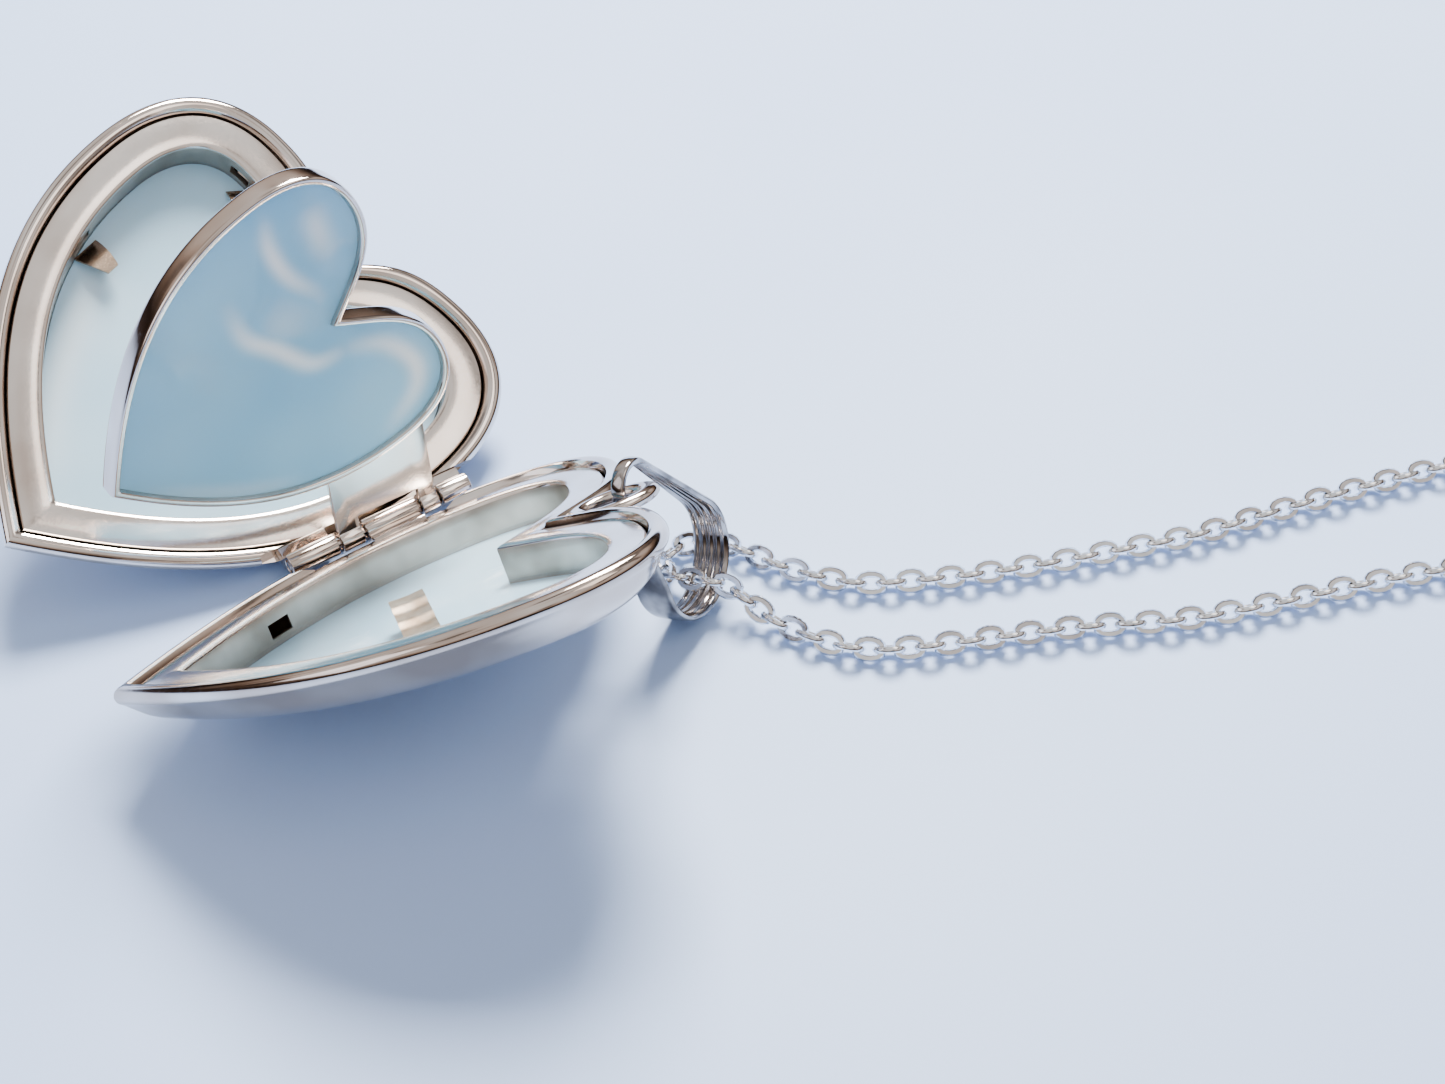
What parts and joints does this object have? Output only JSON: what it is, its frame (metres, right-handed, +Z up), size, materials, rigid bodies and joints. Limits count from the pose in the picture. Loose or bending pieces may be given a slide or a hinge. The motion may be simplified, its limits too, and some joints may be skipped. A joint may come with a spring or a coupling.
{
  "type": "locket",
  "caption": "Open heart-shaped picture locket with a hinged inner leaf, clear picture windows, a folded ribbon bail and a fine cable chain with a lobster clasp.",
  "frame": {"origin": "middle of the open locket's footprint, on the surface that its two domed shells rest on", "axes": "+X along the hinge pin towards the lobes and the bail, +Y from the front shell to the back shell, +Z up"},
  "size_m": [0.0879, 0.0898, 0.0247],
  "materials": {
    "polished_silver": "rhodium-plated, mirror polished",
    "satin_steel": "pressed sheet, fine satin",
    "chain_silver": "bright polished",
    "clear_sheet": "thin clear plastic film",
    "photo_card": "plain pale blue card"
  },
  "bodies": {
    "front": {"front_shell": "polished_silver", "front_liner": "satin_steel", "front_window": "clear_sheet", "front_photo_card": "photo_card", "front_spring_tab": "satin_steel", "front_knuckle": "polished_silver", "bail_ring": "polished_silver", "chain_long": "chain_silver", "chain_short": "chain_silver", "chain_tail": "chain_silver", "chain_coil": "chain_silver", "clasp_body": "polished_silver", "clasp_rivet": "polished_silver", "clasp_ring": "polished_silver", "end_ring": "polished_silver"},
    "back": {"back_shell": "polished_silver", "back_liner": "satin_steel", "back_window": "clear_sheet", "back_photo_card": "photo_card", "back_knuckle_left": "polished_silver", "back_knuckle_right": "polished_silver", "hinge_pin": "polished_silver"},
    "leaf": {"leaf_frame": "polished_silver", "leaf_window_front": "clear_sheet", "leaf_window_back": "clear_sheet", "leaf_photo_card": "photo_card", "leaf_hinge_plate": "satin_steel"},
    "bail": {"bail": "polished_silver"},
    "clasp_lever": {"clasp_lever": "polished_silver"}
  },
  "joints": [
    {"name": "main_hinge", "type": "hinge", "parent": "front", "child": "back", "pos_m": [0.00235, 0, 0.00138], "axis": [1, 0, 0], "range_deg": [-45, 115]},
    {"name": "leaf_hinge", "type": "hinge", "parent": "front", "child": "leaf", "pos_m": [0.00235, 0, 0.00138], "axis": [1, 0, 0], "range_deg": [-24, 61.1]},
    {"name": "bail_swing", "type": "hinge", "parent": "front", "child": "bail", "pos_m": [0.01095, -0.0143, 0.00978], "axis": [-0.31, -0.803, 0.509], "range_deg": [-6, 3]},
    {"name": "lever_pivot", "type": "hinge", "parent": "front", "child": "clasp_lever", "pos_m": [0.0679, -0.05973, 0.00095], "axis": [0, 0, 1], "range_deg": [-25, 0], "stiffness_Nm_per_rad": 0.0005, "springref_deg": 5.73}
  ],
  "couplings": [
    {"joint": "leaf_hinge", "follows": "main_hinge", "ratio": 0.531}
  ]
}
